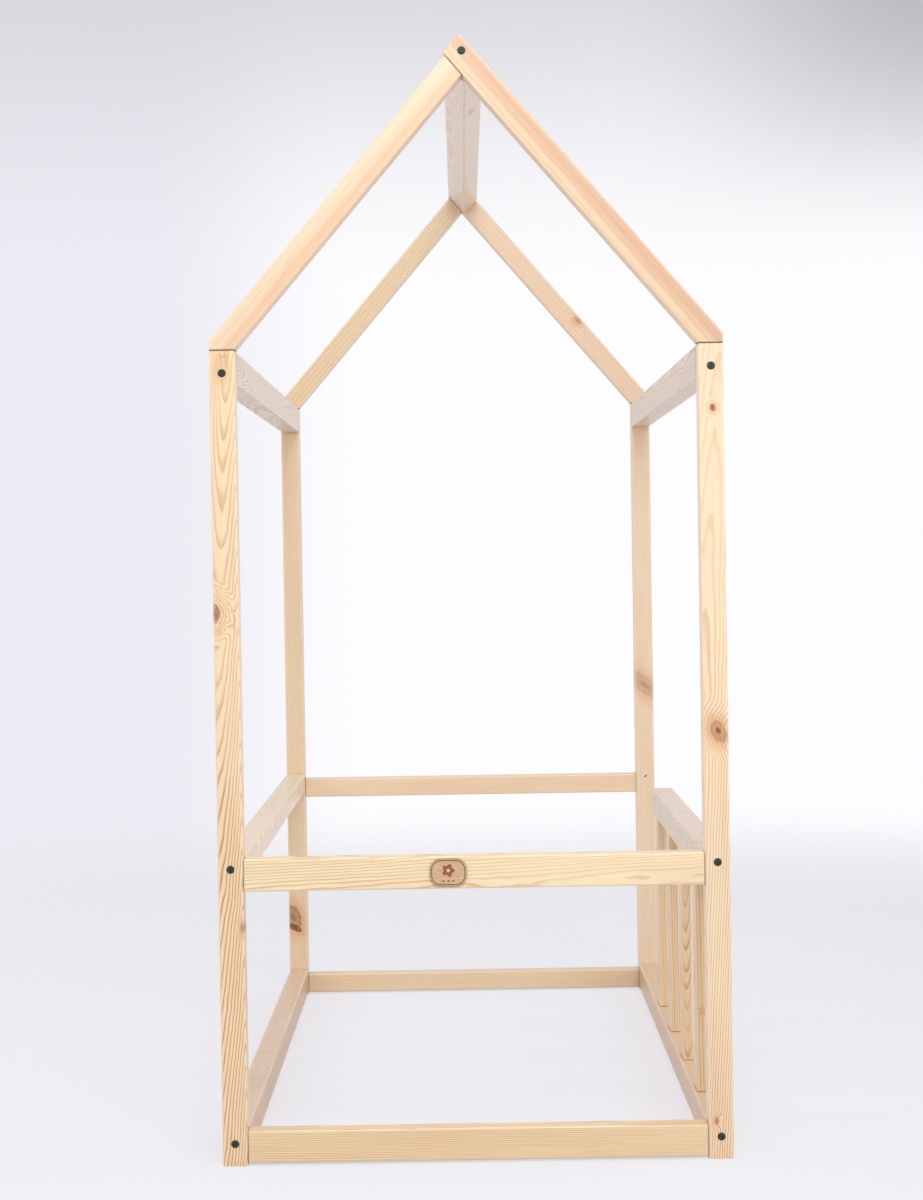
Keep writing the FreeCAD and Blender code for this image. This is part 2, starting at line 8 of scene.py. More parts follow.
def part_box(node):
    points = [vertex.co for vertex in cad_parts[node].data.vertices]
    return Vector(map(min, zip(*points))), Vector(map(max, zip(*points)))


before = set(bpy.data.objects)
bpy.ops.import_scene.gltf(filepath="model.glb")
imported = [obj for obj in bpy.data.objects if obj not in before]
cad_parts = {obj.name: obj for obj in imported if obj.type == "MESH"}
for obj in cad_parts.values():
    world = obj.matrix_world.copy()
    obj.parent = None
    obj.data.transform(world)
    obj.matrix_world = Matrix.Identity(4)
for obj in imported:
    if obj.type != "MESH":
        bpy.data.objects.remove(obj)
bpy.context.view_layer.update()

# A child's house-shaped floor bed in clear-lacquered pine, photographed in a white studio
# from a little in front of one gable. Lengths are in metres, in the frame of the model.

POST_SIZE = 0.045
ROOF_PITCH = math.radians(49.4)
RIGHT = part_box("post_front_right")[1].x
POST_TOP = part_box("post_front_left")[1].z
# Tenons stand out of a stick's ends, inside the sticks that it meets.
RAIL_TENON = 0.015
SLAT_TENON = 0.012
HIDDEN_LENGTH = {f"{level}_rail_{gable}": RAIL_TENON
                 for level in ("mid", "bottom") for gable in ("front", "rear")}
HIDDEN_LENGTH.update({f"guard_slat_{number}": SLAT_TENON for number in range(1, 5)})


def rgb(red, green, blue):
    """A colour written as it looks on screen, turned to the linear values of a shader."""
    def linear(part):
        part /= 255
        return part / 12.92 if part <= 0.04045 else ((part + 0.055) / 1.055) ** 2.4
    return (linear(red), linear(green), linear(blue), 1.0)


class Shader:
    """The nodes of a material or the world, added one by one; a call gives an output."""

    def __init__(self, owner):
        owner.use_nodes = True
        self.owner = owner
        self.nodes = owner.node_tree.nodes
        self.links = owner.node_tree.links
        self.nodes.clear()

    def put(self, socket, value):
        """Link a socket to another, or give it a plain value."""
        if isinstance(value, bpy.types.NodeSocket):
            self.links.new(value, socket)
        else:
            socket.default_value = value

    def add(self, kind, *values, output=0, **settings):
        """One node, with its first inputs given in order."""
        node = self.nodes.new(kind)
        for key, setting in settings.items():
            setattr(node, key, setting)
        sockets = [socket for socket in node.inputs if socket.enabled]
        for socket, value in zip(sockets, values):
            self.put(socket, value)
        return node.outputs[output]

    def math(self, operation, *values):
        return self.add("ShaderNodeMath", *values, operation=operation)

    def vector(self, operation, *values):
        output = 1 if operation in ("DOT_PRODUCT", "LENGTH") else 0
        return self.add("ShaderNodeVectorMath", *values, operation=operation, output=output)

    def place(self, *parts):
        """A vector of three parts."""
        return self.add("ShaderNodeCombineXYZ", *parts)

    def parts(self, vector):
        """The three parts of a vector."""
        node = self.nodes.new("ShaderNodeSeparateXYZ")
        self.links.new(vector, node.inputs[0])
        return tuple(node.outputs)

    def here(self, kind="Object"):
        """The place that is shaded, or with kind Generated the way that is looked in."""
        return self.nodes.new("ShaderNodeTexCoord").outputs[kind]

    def mirror_or_eye(self):
        """1 for a ray that comes from the camera, a mirror or glass, and 0 for other light."""
        path = self.nodes.new("ShaderNodeLightPath")
        camera, glossy, transmission = (path.outputs[f"Is {kind} Ray"]
                                        for kind in ("Camera", "Glossy", "Transmission"))
        return self.math("MAXIMUM", self.math("MAXIMUM", camera, glossy), transmission)

    def switch(self, amount, first, second):
        """Mix two surfaces or two backgrounds."""
        return self.add("ShaderNodeMixShader", amount, first, second)

    def output(self, kind, surface):
        self.put(self.nodes.new(kind).inputs["Surface"], surface)

    def blend(self, amount, first, second, kind="MIX"):
        """Mix two colours."""
        node = self.nodes.new("ShaderNodeMix")
        node.data_type = "RGBA"
        node.blend_type = kind
        self.put(node.inputs[0], amount)
        self.put(node.inputs[6], first)
        self.put(node.inputs[7], second)
        return node.outputs[2]

    def tint(self, colour, amount):
        """Make a colour darker or lighter."""
        return self.blend(1.0, colour, self.place(amount, amount, amount), "MULTIPLY")

    def ease(self, value, low, high, start=0.0, end=1.0):
        """Go smoothly from start to end as the value goes from low to high."""
        node = self.nodes.new("ShaderNodeMapRange")
        node.interpolation_type = "SMOOTHSTEP"
        for socket, item in zip(node.inputs, (value, low, high, start, end)):
            self.put(socket, item)
        return node.outputs[0]

    def noise(self, where, detail=2.0, roughness=0.5, colour=False):
        """Noise of about one lump per unit, from 0 to 1."""
        node = self.nodes.new("ShaderNodeTexNoise")
        self.put(node.inputs["Vector"], where)
        node.inputs["Scale"].default_value = 1.0
        node.inputs["Detail"].default_value = detail
        node.inputs["Roughness"].default_value = roughness
        return node.outputs["Color" if colour else "Fac"]

    def even_noise(self, where, lumps, detail):
        """Noise with as many lumps per metre in every direction."""
        return self.noise(self.vector("MULTIPLY", where, (lumps, lumps, lumps)), detail)

    def finish(self, colour, roughness, height, bump, **sockets):
        """The surface, with any plain values for the shader's own sockets."""
        shader = self.nodes.new("ShaderNodeBsdfPrincipled")
        self.put(shader.inputs["Base Color"], colour)
        self.put(shader.inputs["Roughness"], roughness)
        for name, value in sockets.items():
            shader.inputs[name.replace("_", " ")].default_value = value
        relief = self.nodes.new("ShaderNodeBump")
        relief.inputs["Strength"].default_value = 1.0
        relief.inputs["Distance"].default_value = bump
        self.put(relief.inputs["Height"], height)
        self.links.new(relief.outputs[0], shader.inputs["Normal"])
        self.output("ShaderNodeOutputMaterial", shader.outputs[0])
        return self.owner


def new_material(name):
    return Shader(bpy.data.materials.new(name))


# Pine: where each stick lies.

# A stick's way along it, across it and through it, by the axis that it runs along.
AXES = {
    "X": (Vector((1, 0, 0)), Vector((0, 0, 1)), Vector((0, 1, 0))),
    "Y": (Vector((0, 1, 0)), Vector((0, 0, 1)), Vector((1, 0, 0))),
    "Z": (Vector((0, 0, 1)), Vector((1, 0, 0)), Vector((0, 1, 0))),
}


def slope_axes(side):
    """Up along a rafter, and square off its slope; side is -1 on the left and 1 on the right."""
    cosine, sine = math.cos(ROOF_PITCH), math.sin(ROOF_PITCH)
    return Vector((-side * cosine, 0, sine)), Vector((side * sine, 0, cosine))


class Stick:
    """Where a stick lies: a start in the middle of its low end, its length and its axes.

    Its butts are the planes at which it meets other sticks, each as a point and the way
    from there into the stick; painted shade darkens the wood next to them.
    """

    def __init__(self, node):
        low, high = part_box(node)
        middle = (low + high) / 2
        self.node = node
        if node.startswith("rafter"):
            self.place_rafter(-1 if node.endswith("left") else 1, middle.y, high.z - low.z)
            return
        sizes = high - low
        run = "XYZ"[max(range(3), key=lambda axis: sizes[axis])]
        self.along, self.across, self.through = AXES[run]
        self.length = abs(sizes.dot(self.along))
        self.height = abs(sizes.dot(self.across))
        self.depth = abs(sizes.dot(self.through))
        self.start = middle - self.along * self.length / 2
        self.butts = [(self.start, self.along), (middle * 2 - self.start, -self.along)]
        if node.startswith("post"):
            del self.butts[0]
        if node.startswith("guard_top"):
            del self.butts[1]
        if node in HIDDEN_LENGTH:
            hidden = self.along * HIDDEN_LENGTH[node]
            self.butts = [(point + (hidden if way == self.along else -hidden), way)
                          for point, way in self.butts]

    def place_rafter(self, side, depth_place, rise):
        self.along, self.across = slope_axes(side)
        self.through = Vector((0, 1, 0))
        foot = Vector((side * (RIGHT - POST_SIZE), depth_place, POST_TOP))
        apex = foot + self.along * (RIGHT - POST_SIZE) / math.cos(ROOF_PITCH)
        self.start = foot + self.across * POST_SIZE / 2
        self.length = rise / math.sin(ROOF_PITCH)
        self.height = self.depth = POST_SIZE
        self.butts = [(foot, Vector((0, 0, 1)))]
        if side < 0:
            self.butts.append((apex, -slope_axes(1)[1]))


# Pine: how it looks.

WARM = rgb(238, 196, 156)
# A painted sheen: the white studio reflected in the lacquer at a grazing angle, which greys the
# inner beams.
PAINTED_SHEEN_GREY = rgb(226, 208, 202)
KNOT_FLESH = rgb(186, 120, 78)
KNOT_DARK = rgb(84, 48, 32)
KNOT_HALO = rgb(226, 166, 112)
NICK_FLESH = rgb(120, 110, 100)
END_GRAIN = rgb(214, 160, 106)
# A painted highlight on the eased edges.
EDGE_HIGHLIGHT = rgb(250, 232, 206)
SEAM_GLUE = rgb(140, 100, 70)
# Painted shade in the grooves where sticks meet.
JOINT_SHADE = rgb(108, 74, 50)

FINGER_PITCH = 0.0065
FINGER_DEPTH = 0.009
SEAM_LINE = (0.0006, 0.0028)
BUTT_SHADE = (0.0006, 0.0024)
EDGE_BAND = (0.006, 0.001)

# Lumps of noise per metre, along the grain and across it.
DRIFT_LUMPS = (5.0, 12.0)
QUIVER_LUMPS = (26.0, 60.0)
FIBRE_LUMPS = (14.0, 520.0)
CLOUD_LUMPS = (2.2, 22.0)
WARP_LUMPS = 110.0
# Parts the noise of the boards of one stick, and of the clouds from the rest.
BOARD_SHIFT = 3.7
CLOUD_SHIFT = 9.0

# The dark late wood of a year ring: where in the ring it begins, and where it drops off.
LATE_BEGIN = 0.4
LATE_DROP = 0.9
LATE_POWER = 1.5
# How far from a knot its rings are pushed aside, in its radii.
COLLAR = (0.6, 3.6)


@dataclass
class Wood:
    """How a stick's wood looks."""

    seed: float
    pith: tuple = (0.05, 0.03)    # off the middle line at the start, across and through
    lean: tuple = (0.0, 0.01)     # how the pith leans, per metre along the stick
    ring: float = 0.0032          # the width of a year ring
    wave: float = 0.0012          # how far the pith wanders
    contrast: float = 0.6         # how strong the late wood shows
    fade: float = 1.0             # the share of that left at the far end
    pale: tuple = rgb(246, 220, 184)
    late: tuple = rgb(210, 150, 94)
    warm: tuple = (0.03, 0.04)    # across the stick, where a painted shade on one side begins and is full
    side_shade: tuple = WARM
    knots: tuple = ()
    joints: tuple = ()            # the places of the finger joints along the stick
    step: float = 0.017           # how far the pith jumps at a finger joint
    painted_sheen: float = 0.0             # how far a painted greyish sheen, the white studio reflected in the lacquer, covers the stick


@dataclass
class Knot:
    """A knot: its place along the stick and off its middle line, its radius and its look."""

    along: float
    off: float
    radius: float
    face: str = "through"         # the way that its face looks
    stretch: float = 1.3          # its length over its width
    slant: float = 0.0            # degrees, from the stick's length toward a positive off
    dark: float = 0.6             # its rim and heart
    flesh: tuple = KNOT_FLESH
    solid: float = 0.85           # how well the flesh covers
    halo: float = 0.5
    pull: float = 1.5             # how many rings it pushes aside


def grain_noise(s, place, shift, lumps, **settings):
    """Noise drawn out along the grain, with its lumps per metre along and across."""
    along, across, through = place
    return s.noise(s.place(s.math("MULTIPLY_ADD", along, lumps[0], shift),
                           s.math("MULTIPLY", across, lumps[1]),
                           s.math("MULTIPLY", through, lumps[1])), **settings)


def finger_joints(s, joints, along, through):
    """The number of the board that a place is in, and the dark seams between boards."""
    board = 0.0
    seam = 0.0
    # The fold goes wrong below 0, so it starts a metre away.
    for joint in joints:
        fold = s.math("PINGPONG", s.math("ADD", through, 1.0), FINGER_PITCH / 2)
        tooth = s.math("MULTIPLY", fold, FINGER_DEPTH / (FINGER_PITCH / 2))
        past = s.math("SUBTRACT", along, s.math("ADD", tooth, joint))
        board = s.math("ADD", board, s.math("GREATER_THAN", past, 0.0))
        line = s.ease(s.math("ABSOLUTE", past), *SEAM_LINE, 1.0, 0.0)
        seam = s.math("MAXIMUM", seam, line)
    return board, seam


def from_pith(s, wood, place, board, sway):
    """How far a place is from the pith, which leans and wanders along the stick."""
    along = place[0]
    jump = s.math("MULTIPLY", board, wood.step)
    squares = []
    for side, lean, pith, drift in zip(place[1:], wood.lean, wood.pith, sway):
        leaning = s.math("MULTIPLY_ADD", along, lean, side)
        centred = s.math("SUBTRACT", leaning, s.math("ADD", jump, pith))
        wander = s.math("MULTIPLY_ADD", drift, wood.wave * 4, centred)
        squares.append(s.math("MULTIPLY", wander, wander))
    return s.math("SQRT", s.math("ADD", *squares))


def reach_from(s, knot, place, warp):
    """How far a place is from a knot, in radii, round an uneven slanted oval."""
    along, across, through = place
    side = across if knot.face == "through" else through
    length_off = s.math("SUBTRACT", along, knot.along)
    side_off = s.math("SUBTRACT", side, knot.off)
    slant = math.radians(knot.slant)
    cosine, sine = math.cos(slant), math.sin(slant)
    long_way = s.math("ADD", s.math("MULTIPLY", length_off, cosine / knot.stretch),
                      s.math("MULTIPLY", side_off, sine / knot.stretch))
    short_way = s.math("ADD", s.math("MULTIPLY", side_off, cosine),
                       s.math("MULTIPLY", length_off, -sine))
    away = s.vector("LENGTH", s.place(long_way, short_way, 0.0))
    return s.math("MULTIPLY_ADD", warp, 0.5, s.math("DIVIDE", away, knot.radius))


def late_wood(s, radius, ring, shift):
    """How much of the dark late wood shows, which differs from year to year."""
    turns = s.math("DIVIDE", radius, ring)
    phase = s.math("FRACT", turns)
    rise = s.math("POWER", s.ease(phase, LATE_BEGIN, LATE_DROP), LATE_POWER)
    season = s.math("MULTIPLY", rise, s.ease(phase, LATE_DROP, 1.0, 1.0, 0.0))
    year = s.noise(s.place(s.math("FLOOR", turns), shift, 0.0), detail=0.0)
    return s.math("MULTIPLY", season, s.ease(year, 0.25, 0.7, 0.35, 1.0))


def draw_knots(s, knots, reaches, colour, warp, fibre, patches):
    """Each knot has a warm halo, a brown oval, a broken dark rim and a dark heart."""
    for knot, reach in zip(knots, reaches):
        halo = s.ease(reach, 0.9, 2.6, knot.halo, 0.0)
        colour = s.blend(halo, colour, KNOT_HALO)
        patchy = s.ease(s.math("ADD", warp, fibre), 0.2, 0.8, 0.55, 1.0)
        oval = s.ease(reach, 0.8, 1.1, knot.solid, 0.0)
        colour = s.blend(s.math("MULTIPLY", oval, patchy), colour, knot.flesh)
        rim = s.ease(s.math("ABSOLUTE", s.math("SUBTRACT", reach, 0.95)), 0.03, 0.2, 1.0, 0.0)
        rim = s.math("MULTIPLY", rim, s.ease(patches, -0.1, 0.12, 0.25, 1.0))
        heart = s.ease(reach, 0.05, 0.5, 1.0, 0.0)
        dark = s.math("MULTIPLY", s.math("MAXIMUM", rim, heart), knot.dark)
        colour = s.blend(dark, colour, KNOT_DARK)
    return colour


def painted_edge_highlights(s, stick, colour, across, through, cloud):
    """A painted highlight makes the eased edges a little paler, unevenly."""
    near = []
    for side, size in ((across, stick.height), (through, stick.depth)):
        near.append(s.ease(s.math("ABSOLUTE", side), *(size / 2 - band for band in EDGE_BAND)))
    edge = s.math("MULTIPLY", *near)
    edge_highlight = s.math("MULTIPLY", edge, s.ease(cloud, 0.3, 0.7, 0.1, 0.4))
    return s.blend(edge_highlight, colour, EDGE_HIGHLIGHT)


def pine(stick, wood):
    """Lacquered pine, as a solid block of year rings that the stick is cut from."""
    s = new_material("pine_" + stick.node)
    here = s.here()
    local = s.vector("SUBTRACT", here, stick.start)
    place = [s.vector("DOT_PRODUCT", local, way)
             for way in (stick.along, stick.across, stick.through)]
    along, across, through = place
    board, seam = finger_joints(s, wood.joints, along, through)
    shift = s.math("MULTIPLY_ADD", board, BOARD_SHIFT, wood.seed)

    # The year rings, round a pith that leans and wanders along the stick.
    drift = grain_noise(s, place, shift, DRIFT_LUMPS, colour=True)
    sway = s.parts(s.vector("SUBTRACT", drift, (0.5, 0.5, 0.5)))
    quiver = grain_noise(s, place, shift, QUIVER_LUMPS, detail=1.0)
    radius = from_pith(s, wood, place, board, sway)
    radius = s.math("MULTIPLY_ADD", quiver, wood.ring * 0.45, radius)

    # Rings flow round each knot and darken in its collar.
    warp = s.math("SUBTRACT", s.even_noise(local, WARP_LUMPS, detail=1.0), 0.5)
    reaches = []
    collar = 0.0
    for knot in wood.knots:
        reach = reach_from(s, knot, place, warp)
        reaches.append(reach)
        swell = s.ease(reach, *COLLAR, 1.0, 0.0)
        radius = s.math("MULTIPLY_ADD", swell, wood.ring * knot.pull, radius)
        if knot.pull:
            collar = s.math("MAXIMUM", collar, swell)
    late = late_wood(s, radius, wood.ring, shift)

    # Fibres, and the slow change of colour along the board.
    fibre = grain_noise(s, place, shift, FIBRE_LUMPS, detail=3.0, roughness=0.6)
    cloud = grain_noise(s, place, s.math("ADD", shift, CLOUD_SHIFT), CLOUD_LUMPS, detail=3.0)
    strength = s.ease(cloud, 0.25, 0.75, wood.contrast * 0.7, wood.contrast * 1.25)
    if wood.fade != 1.0:
        kept = s.ease(along, 0.25 * stick.length, 0.85 * stick.length, 1.0, wood.fade)
        strength = s.math("MULTIPLY", strength, kept)
    strength = s.math("MULTIPLY_ADD", collar, 0.5, strength)
    colour = s.blend(s.ease(cloud, 0.4, 0.85, 0.0, 0.3), wood.pale, WARM)
    # Painted sheen: a greyish reflection of the white studio, mixed into the wood's colour.
    colour = s.blend(wood.painted_sheen, colour, PAINTED_SHEEN_GREY)
    # Painted shade: one side of the stick, across it, is painted darker and warmer.
    band = s.ease(s.math("MULTIPLY_ADD", sway[2], 0.01, across), *wood.warm, 0.0, 0.85)
    colour = s.blend(band, colour, wood.side_shade)
    colour = s.blend(s.math("MULTIPLY", late, strength), colour, wood.late)
    colour = s.tint(colour, s.ease(fibre, 0.3, 0.7, 0.95, 1.03))
    colour = draw_knots(s, wood.knots, reaches, colour, warp, fibre, sway[2])

    # End grain, a painted highlight on the eased edges, the finger joints and painted shade in
    # the gaps where sticks meet.
    normal = s.nodes.new("ShaderNodeNewGeometry").outputs["Normal"]
    facing = s.math("ABSOLUTE", s.vector("DOT_PRODUCT", normal, stick.along))
    end_grain = s.ease(facing, 0.6, 0.95)
    colour = s.blend(s.math("MULTIPLY", end_grain, 0.45), colour, END_GRAIN)
    colour = painted_edge_highlights(s, stick, colour, across, through, cloud)
    colour = s.blend(s.math("MULTIPLY", seam, 0.6), colour, SEAM_GLUE)
    # Painted shade in the groove at each butt, where the stick meets another.
    for point, way in stick.butts:
        off = s.vector("DOT_PRODUCT", s.vector("SUBTRACT", here, point), way)
        colour = s.blend(s.ease(off, *BUTT_SHADE, 0.75, 0.0), colour, JOINT_SHADE)

    height = s.math("SUBTRACT", s.math("MULTIPLY", quiver, 0.5), seam)
    roughness = s.math("MULTIPLY_ADD", fibre, 0.16, s.math("MULTIPLY_ADD", end_grain, 0.15, 0.36))
    return s.finish(colour, roughness, height, bump=0.0001, Coat_Weight=0.3,
                    Coat_Roughness=0.22, IOR=1.5)


def along_beam(from_front_plane):
    """A place along a long beam, from its distance behind the front faces of the posts."""
    return from_front_plane - POST_SIZE


def dash(along, off):
    """A short slanted nick in the wood."""
    return Knot(along, off, 0.0008, stretch=5.0, slant=38.0, dark=0.5, solid=0.6, halo=0.0,
                flesh=NICK_FLESH, pull=0.0)


TAN = rgb(238, 212, 176)
GOLDEN = rgb(252, 230, 188)
# Painted shade: the bottom side rails in a darker tone, and darker still below their top faces.
PAINTED_SHADE_TAN = rgb(230, 200, 168)
SIDE_SHADE_TAN = rgb(216, 178, 138)
BEAM_LATE = rgb(166, 128, 102)
SLAT_PALE = rgb(240, 209, 165)
SLAT_LATE = rgb(188, 114, 62)

WOODS = {
    "post_front_left": Wood(1.0, pith=(-0.06, 0.0605), lean=(-0.048, 0.045), contrast=1.25,
                            fade=0.54, pale=rgb(248, 222, 180), late=rgb(202, 132, 72),
                            knots=[Knot(0.985, -0.0225, 0.0125, stretch=1.35, pull=8.0,
                                        flesh=rgb(148, 82, 60), halo=0.2),
                                   Knot(0.952, -0.014, 0.003, pull=4.0, solid=0.0, dark=0.0,
                                        halo=0.3),
                                   Knot(0.425, 0.020, 0.0035, stretch=2.6, pull=3.0,
                                        flesh=rgb(150, 90, 56), dark=0.8),
                                   Knot(1.415, 0.0, 0.009, stretch=1.8, solid=0.0, dark=0.0,
                                        halo=0.45, pull=0.0),
                                   dash(1.441, -0.004), dash(1.438, 0.0), dash(1.439, 0.004)]),
    "post_front_right": Wood(2.0, pith=(-0.084, -0.0175), lean=(-0.07, -0.03), ring=0.0045,
                             wave=0.001, contrast=1.05, fade=0.3, pale=rgb(249, 225, 187),
                             late=rgb(210, 134, 82),
                             knots=[Knot(1.335, 0.002, 0.0046, dark=1.0, halo=0.6,
                                         flesh=rgb(140, 84, 56), pull=2.5),
                                    Knot(0.762, 0.004, 0.0125, stretch=1.5, slant=-25.0,
                                         flesh=rgb(176, 108, 72), solid=0.6, dark=0.85,
                                         halo=0.7, pull=3.0),
                                    Knot(0.068, -0.008, 0.0036, stretch=1.6, dark=0.5)]),
    "post_rear_left": Wood(3.0, pith=(0.05, 0.02), contrast=0.5, pale=TAN,
                           knots=[Knot(0.192, -0.013, 0.018, stretch=1.6, slant=-20.0,
                                       dark=0.45, flesh=rgb(166, 124, 86), halo=0.7, pull=3.0,
                                       solid=0.95),
                                  Knot(0.166, -0.008, 0.007, stretch=2.4, slant=-60.0,
                                       dark=0.9, flesh=rgb(104, 70, 44), solid=0.95)]),
    "post_rear_right": Wood(4.0, pith=(-0.05, 0.02), contrast=0.5, pale=rgb(242, 218, 186),
                            knots=[Knot(0.755, 0.0, 0.017, stretch=3.2, slant=-50.0,
                                        dark=0.35, flesh=rgb(206, 158, 128), solid=0.8)]),
    "rafter_front_left": Wood(5.0, pith=(0.09, 0.04), ring=0.012, wave=0.0008, contrast=0.3,
                              pale=rgb(242, 219, 186), late=rgb(222, 176, 136),
                              warm=(0.006, -0.010)),
    "rafter_front_right": Wood(6.0, pith=(-0.09, 0.04), ring=0.011, wave=0.0008, contrast=0.4,
                               pale=rgb(236, 206, 170), late=rgb(208, 152, 110),
                               warm=(-0.012, 0.006), side_shade=rgb(220, 176, 140)),
    "rafter_rear_left": Wood(7.0, pith=(0.07, 0.02), ring=0.009, wave=0.0008, contrast=0.4,
                             pale=rgb(232, 205, 166), late=rgb(206, 164, 116)),
    "rafter_rear_right": Wood(8.0, pith=(0.07, 0.02), ring=0.009, wave=0.0008, contrast=0.4,
                              pale=rgb(228, 198, 166), late=rgb(206, 158, 118),
                              knots=[Knot(0.24, 0.014, 0.006, stretch=2.0, dark=0.3)]),
    "ridge_beam": Wood(9.0, pith=(0.045, 0.035), wave=0.004, contrast=0.35, painted_sheen=0.4,
                       pale=rgb(238, 212, 178), late=BEAM_LATE,
                       knots=[Knot(0.34, 0.016, 0.005, face="across", stretch=4.0, dark=0.25,
                                   flesh=rgb(180, 150, 140), solid=0.5)]),
    "eave_beam_left": Wood(10.0, pith=(0.004, -0.012), lean=(0.0, 0.06), wave=0.0025,
                           contrast=0.9, painted_sheen=0.45, late=BEAM_LATE,
                           joints=[along_beam(0.517)], step=0.06),
    "eave_beam_right": Wood(11.0, pith=(0.03, 0.05), wave=0.002, contrast=0.7, painted_sheen=0.45,
                            late=BEAM_LATE, joints=[along_beam(1.02)]),
    "mid_rail_left": Wood(12.0, pith=(0.004, -0.02), lean=(0.0, 0.05), wave=0.004,
                          contrast=0.5, painted_sheen=0.2, pale=rgb(250, 226, 192), late=BEAM_LATE,
                          joints=[along_beam(0.9)]),
    "mid_rail_front": Wood(13.0, pith=(-0.042, 0.012), lean=(-0.036, 0.014), ring=0.0046,
                           wave=0.003, contrast=0.95, fade=0.5, pale=GOLDEN,
                           late=rgb(212, 150, 82)),
    "mid_rail_rear": Wood(14.0, pith=(0.06, 0.01), contrast=0.3, pale=rgb(244, 216, 180)),
    "bottom_rail_front": Wood(15.0, pith=(-0.08, 0.03), lean=(0.01, 0.01), wave=0.0016,
                              contrast=0.95, pale=rgb(243, 218, 174)),
    "bottom_rail_rear": Wood(16.0, pith=(0.08, 0.02), contrast=0.4, pale=TAN),
    "bottom_rail_left": Wood(17.0, pith=(0.03, 0.05), contrast=0.7, pale=PAINTED_SHADE_TAN,
                             warm=(0.028, 0.018), side_shade=SIDE_SHADE_TAN, late=rgb(186, 140, 110),
                             joints=[along_beam(0.425), along_beam(0.665)]),
    "bottom_rail_right": Wood(18.0, pith=(0.02, -0.05), pale=PAINTED_SHADE_TAN, warm=(0.028, 0.018),
                              side_shade=SIDE_SHADE_TAN, joints=[along_beam(0.98)]),
    "guard_top_rail": Wood(19.0, pith=(0.002, 0.02), lean=(0.0, -0.05), wave=0.003,
                           contrast=0.42, painted_sheen=0.5, late=BEAM_LATE, warm=(0.026, 0.014),
                           side_shade=rgb(228, 206, 174),
                           knots=[Knot(0.62, 0.004, 0.003, face="across", dark=0.3)]),
    "apex_key_front": Wood(25.0, contrast=0.2),
    "apex_key_rear": Wood(26.0, contrast=0.2),
}

# Pith, lean, ring and knots of each slat: the second has nested hooks, the others upright
# lines, which bend round a bud on the first.
SLAT_GRAINS = [
    ((0.022, -0.046), (0.012, 0.0), 0.0052,
     [Knot(0.165, 0.001, 0.0035, solid=0.0, dark=0.0, halo=0.35, pull=3.0)]),
    ((-0.0015, -0.0700), (0.004, -0.05), 0.0022, []),
    ((0.03, -0.040), (0.01, 0.0), 0.0050, []),
    ((-0.03, -0.036), (0.01, 0.0), 0.0055, []),
]
for number, (pith, lean, ring, knots) in enumerate(SLAT_GRAINS):
    WOODS[f"guard_slat_{number + 1}"] = Wood(
        20.0 + 1.4 * number, pith=pith, lean=lean, ring=ring, wave=0.0008, contrast=0.75,
        pale=SLAT_PALE, late=SLAT_LATE, knots=knots)


# The steel and the plaque.

BOLT_BLACK = rgb(50, 57, 57)
SCREW_BROWN = rgb(70, 58, 50)
SCRATCH_LUMPS = 2500.0
PATCH_LUMPS = 300.0

PLY_DARK = rgb(196, 160, 118)
PLY_PALE = rgb(222, 190, 148)
PLY_LUMPS = (60.0, 900.0)
BURNT = rgb(96, 60, 38)
PETAL_RED = rgb(170, 84, 66)
EYE_CREAM = rgb(232, 206, 160)

PLAQUE_CORNER = 0.020
LINE_INSET = 0.0035
PETAL_COUNT = 5
PETAL_SWELL = 0.0018
FLOWER_RADIUS = 0.0092
FLOWER_UP = 0.004
DOT_PITCH = 0.009
DOT_DOWN = 0.0145


def steel(name, colour, roughness, metallic):
    """Dark finished steel with fine scratches and duller patches."""
    s = new_material(name)
    here = s.here()
    scratch = s.even_noise(here, SCRATCH_LUMPS, detail=3.0)
    patch = s.even_noise(here, PATCH_LUMPS, detail=2.0)
    colour = s.tint(colour, s.ease(patch, 0.3, 0.7, 0.75, 1.35))
    rough = s.math("MULTIPLY_ADD", scratch, 0.2, s.math("MULTIPLY_ADD", patch, 0.12, roughness))
    return s.finish(colour, rough, scratch, bump=0.00003, Metallic=metallic)


def draw_flower(s, colour, x, z):
    """A rosette of petals round a pale eye, with three dots under it."""
    over = s.math("SUBTRACT", z, FLOWER_UP)
    reach = s.vector("LENGTH", s.place(x, over, 0.0))
    lobes = s.math("COSINE", s.math("MULTIPLY", s.math("ARCTAN2", over, x), PETAL_COUNT))
    from_edge = s.math("SUBTRACT", reach,
                       s.math("MULTIPLY_ADD", lobes, PETAL_SWELL, FLOWER_RADIUS))
    petals = s.ease(from_edge, -0.0003, 0.0003, 1.0, 0.0)
    outline = s.ease(s.math("ABSOLUTE", from_edge), 0.0003, 0.0009, 1.0, 0.0)
    eye = s.ease(reach, 0.0026, 0.0032, 1.0, 0.0)
    colour = s.blend(petals, colour, PETAL_RED)
    colour = s.blend(outline, colour, BURNT)
    colour = s.blend(eye, colour, EYE_CREAM)
    for step in (-1, 0, 1):
        dot = s.vector("LENGTH", s.place(s.math("SUBTRACT", x, step * DOT_PITCH),
                                         s.math("ADD", z, DOT_DOWN), 0.0))
        colour = s.blend(s.ease(dot, 0.0013, 0.0018, 1.0, 0.0), colour, BURNT)
    return colour


